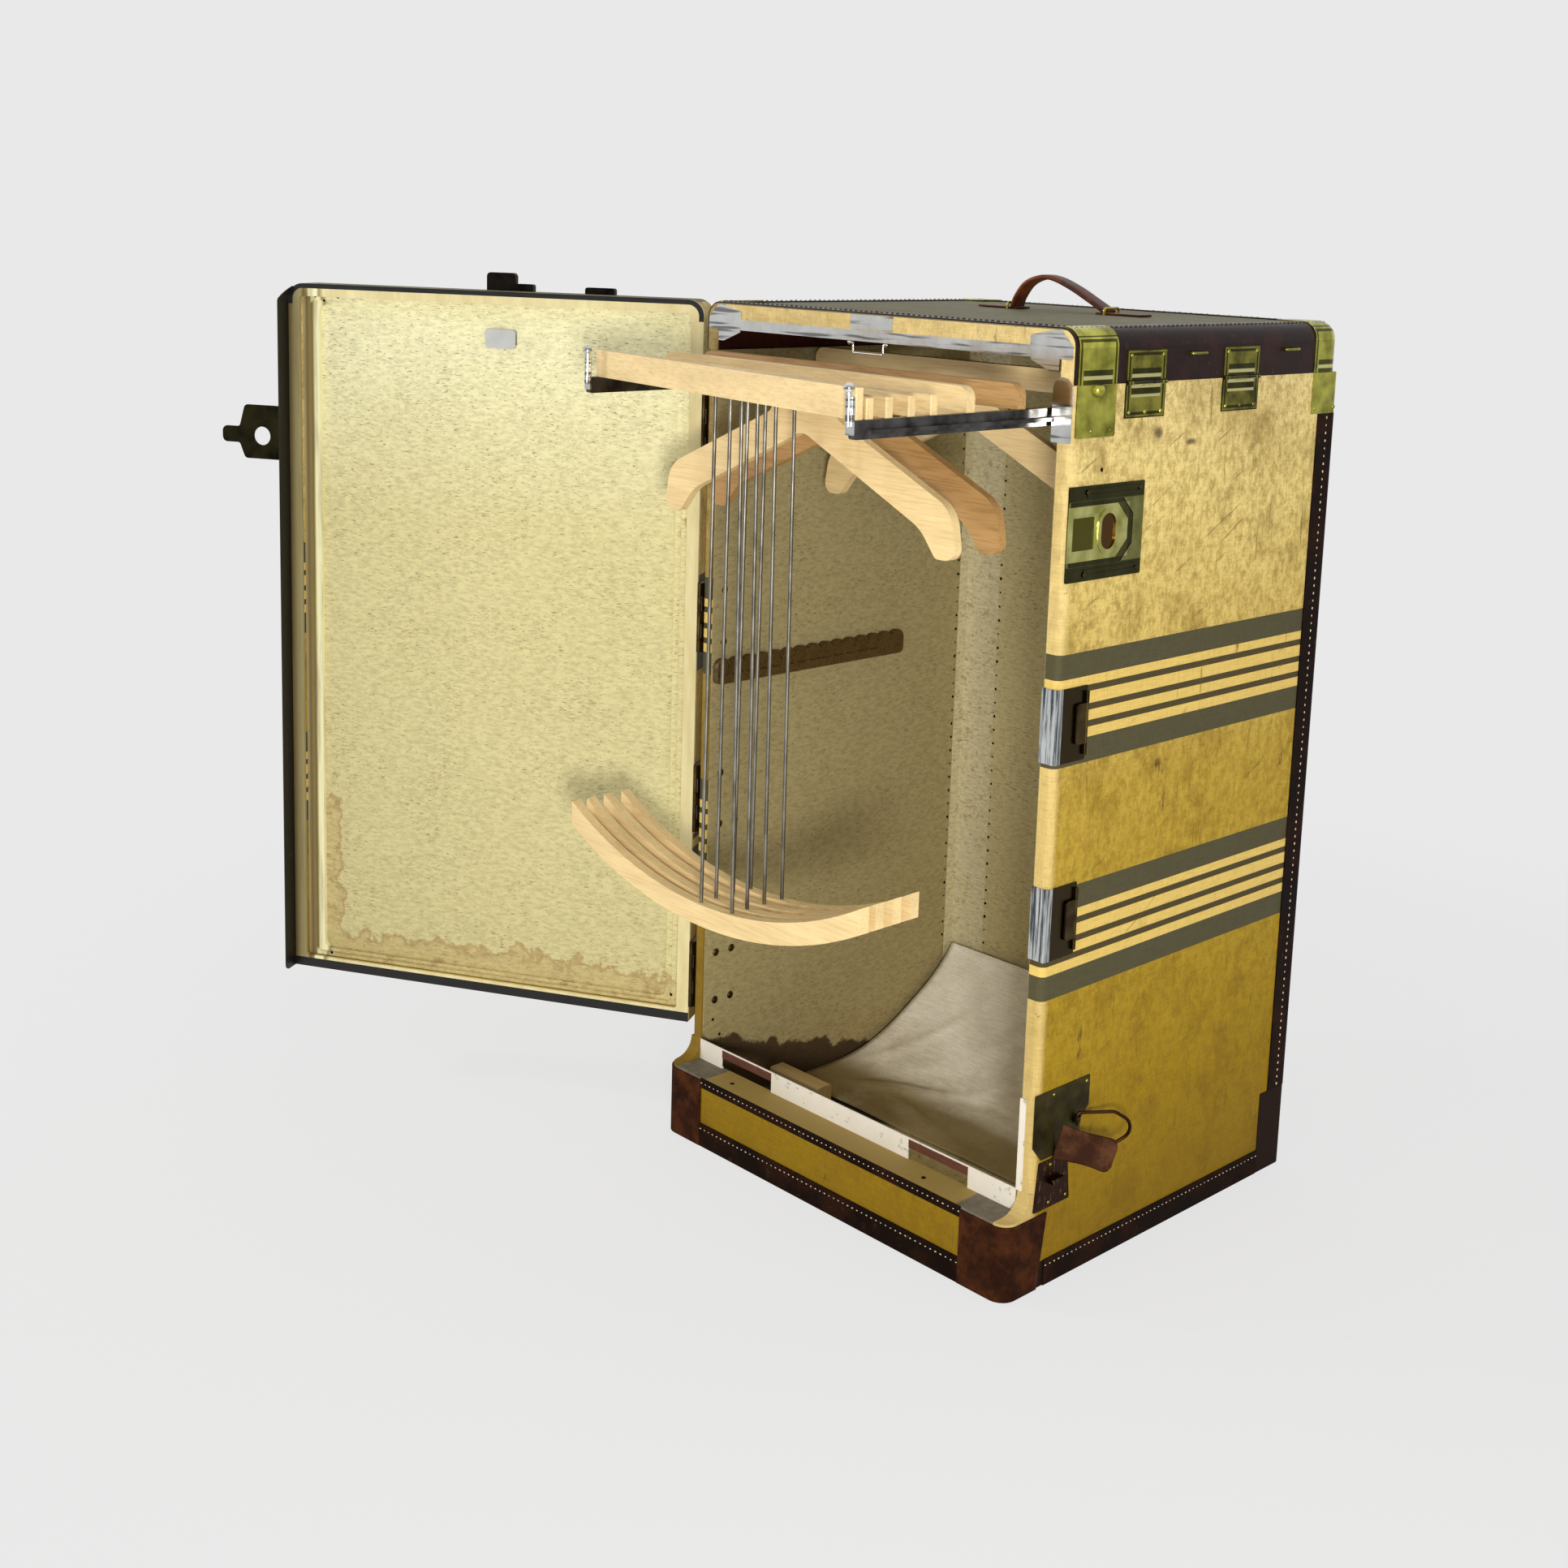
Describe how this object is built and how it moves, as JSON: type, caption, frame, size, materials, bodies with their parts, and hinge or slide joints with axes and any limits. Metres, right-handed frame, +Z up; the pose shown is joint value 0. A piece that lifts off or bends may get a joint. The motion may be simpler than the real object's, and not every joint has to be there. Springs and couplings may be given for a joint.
{
  "type": "wardrobe trunk",
  "caption": "Open wardrobe trunk in striped canvas with leather binding, a hinged door, a lift-up lid and a pull-out hanger rack.",
  "frame": {"origin": "middle of the flat underside of the case", "axes": "+Z up; +Y from the open front to the back; +X from the door hinges towards the lock side"},
  "size_m": [1.1884, 0.8175, 1.082],
  "materials": {
    "canvas": "waxed cotton canvas glued over plywood, yellow ochre, faded and stained, with printed grey and cream stripes",
    "lining": "flecked cream lining paper, faded, water stained at the foot",
    "leather_dark": "dark brown oiled leather binding, worn glossy",
    "leather_brown": "brown moulded leather, scuffed",
    "brass": "lacquered brass sheet, greenish and worn",
    "chrome": "nickelled steel, bright with small scratches",
    "steel": "plated steel, dull and scratched",
    "black_metal": "black lacquered steel, worn",
    "white_metal": "off-white lacquered steel, chipped",
    "pale_wood": "varnished pale birch",
    "brown_wood": "varnished brown beech",
    "dark_wood": "dark stained wood",
    "cloth": "faded khaki cotton cloth"
  },
  "bodies": {
    "case": {"left_side": "canvas", "right_side": "canvas", "back_panel": "canvas", "floor_board": "canvas", "base_sill": "canvas", "case_lining": "lining", "base_binding": "leather_dark", "base_corner_caps": "leather_brown", "rear_binding": "leather_dark", "case_corner_brasses": "brass", "tongue_rail": "white_metal", "rim_plate": "chrome", "lock_plates": "brass", "lower_catch": "brass", "case_hinge_leaves": "brass", "rack_channels": "steel", "wall_rail": "dark_wood", "corner_tape": "lining", "floor_flap": "cloth", "floor_batten": "pale_wood", "lid_hinges_lower": "brass"},
    "door": {"door_shell": "canvas", "door_frame": "lining", "door_lining": "lining", "door_backing": "pale_wood", "door_edge": "black_metal", "door_hinge_leaves": "brass", "door_keepers": "steel"},
    "hasp": {"hasp": "brass"},
    "lid": {"lid_shell": "canvas", "lid_binding": "leather_dark", "lid_corner_brasses": "brass", "lid_rail": "chrome", "lid_hinges_upper": "brass", "handle_strap": "leather_brown", "lid_loops": "brass"},
    "striker": {"striker": "chrome"},
    "latch_lever_a": {"latch_lever_a": "brass"},
    "latch_lever_b": {"latch_lever_b": "brass"},
    "bail": {"bail": "steel"},
    "leather_tab": {"leather_tab": "leather_brown"},
    "rack": {"rack_rails": "steel", "follower_bar": "pale_wood", "rack_brackets": "chrome"},
    "hanger_1": {"hanger_1": "pale_wood", "hanger_strap_1": "steel"},
    "hanger_2": {"hanger_2": "brown_wood", "hanger_strap_2": "steel"},
    "hanger_3": {"hanger_3": "pale_wood", "hanger_strap_3": "steel"},
    "trouser_hanger_1": {"trouser_hanger_1": "pale_wood", "trouser_wires_1": "steel"},
    "trouser_hanger_2": {"trouser_hanger_2": "pale_wood", "trouser_wires_2": "steel"},
    "trouser_hanger_3": {"trouser_hanger_3": "pale_wood", "trouser_wires_3": "steel"},
    "trouser_hanger_4": {"trouser_hanger_4": "pale_wood", "trouser_wires_4": "steel"}
  },
  "joints": [
    {"name": "door_hinge", "type": "hinge", "parent": "case", "child": "door", "pos_m": [-0.2811, -0.22675, 0.5415], "axis": [0, 0, 1], "range_deg": [-30, 150]},
    {"name": "hasp_hinge", "type": "hinge", "parent": "door", "child": "hasp", "pos_m": [-0.77583, -0.50286, 0.846], "axis": [0, 0, 1], "range_deg": [-60, 88]},
    {"name": "lid_hinge", "type": "hinge", "parent": "case", "child": "lid", "pos_m": [0.2807, -0.0205, 0.9825], "axis": [0, -1, 0], "range_deg": [-95, 0]},
    {"name": "striker_swing", "type": "hinge", "parent": "lid", "child": "striker", "pos_m": [-0.014, -0.2217, 1.006], "axis": [1, 0, 0], "range_deg": [-90, 8]},
    {"name": "latch_lever_a_turn", "type": "hinge", "parent": "case", "child": "latch_lever_a", "pos_m": [0.2819, -0.1795, 0.63], "axis": [0, 0, 1], "range_deg": [0, 110]},
    {"name": "latch_lever_b_turn", "type": "hinge", "parent": "case", "child": "latch_lever_b", "pos_m": [0.2819, -0.1795, 0.416], "axis": [0, 0, 1], "range_deg": [0, 110]},
    {"name": "bail_swing", "type": "hinge", "parent": "case", "child": "bail", "pos_m": [0.2827, -0.1565, 0.171], "axis": [0, 0, 1], "range_deg": [-28, 30]},
    {"name": "leather_tab_bend", "type": "hinge", "parent": "case", "child": "leather_tab", "pos_m": [0.282, -0.1885, 0.166], "axis": [0, 0, 1], "range_deg": [-12, 12]},
    {"name": "rack_slide", "type": "slide", "parent": "case", "child": "rack", "axis": [0, 1, 0], "range_m": [-0.0585, 0.2905]},
    {"name": "hanger_1_slide", "type": "slide", "parent": "rack", "child": "hanger_1", "axis": [0, 1, 0], "range_m": [-0.004, 0.02]},
    {"name": "hanger_2_slide", "type": "slide", "parent": "rack", "child": "hanger_2", "axis": [0, 1, 0], "range_m": [-0.02, 0.02]},
    {"name": "hanger_3_slide", "type": "slide", "parent": "rack", "child": "hanger_3", "axis": [0, 1, 0], "range_m": [-0.05, 0.003]},
    {"name": "trouser_hanger_1_slide", "type": "slide", "parent": "rack", "child": "trouser_hanger_1", "axis": [0, 1, 0], "range_m": [-0.003, 0.003]},
    {"name": "trouser_hanger_2_slide", "type": "slide", "parent": "rack", "child": "trouser_hanger_2", "axis": [0, 1, 0], "range_m": [-0.003, 0.003]},
    {"name": "trouser_hanger_3_slide", "type": "slide", "parent": "rack", "child": "trouser_hanger_3", "axis": [0, 1, 0], "range_m": [-0.003, 0.003]},
    {"name": "trouser_hanger_4_slide", "type": "slide", "parent": "rack", "child": "trouser_hanger_4", "axis": [0, 1, 0], "range_m": [-0.003, 0.003]}
  ],
  "couplings": [
    {"joint": "rack_slide", "follows": "door_hinge", "m_per_rad": 0.11077}
  ]
}
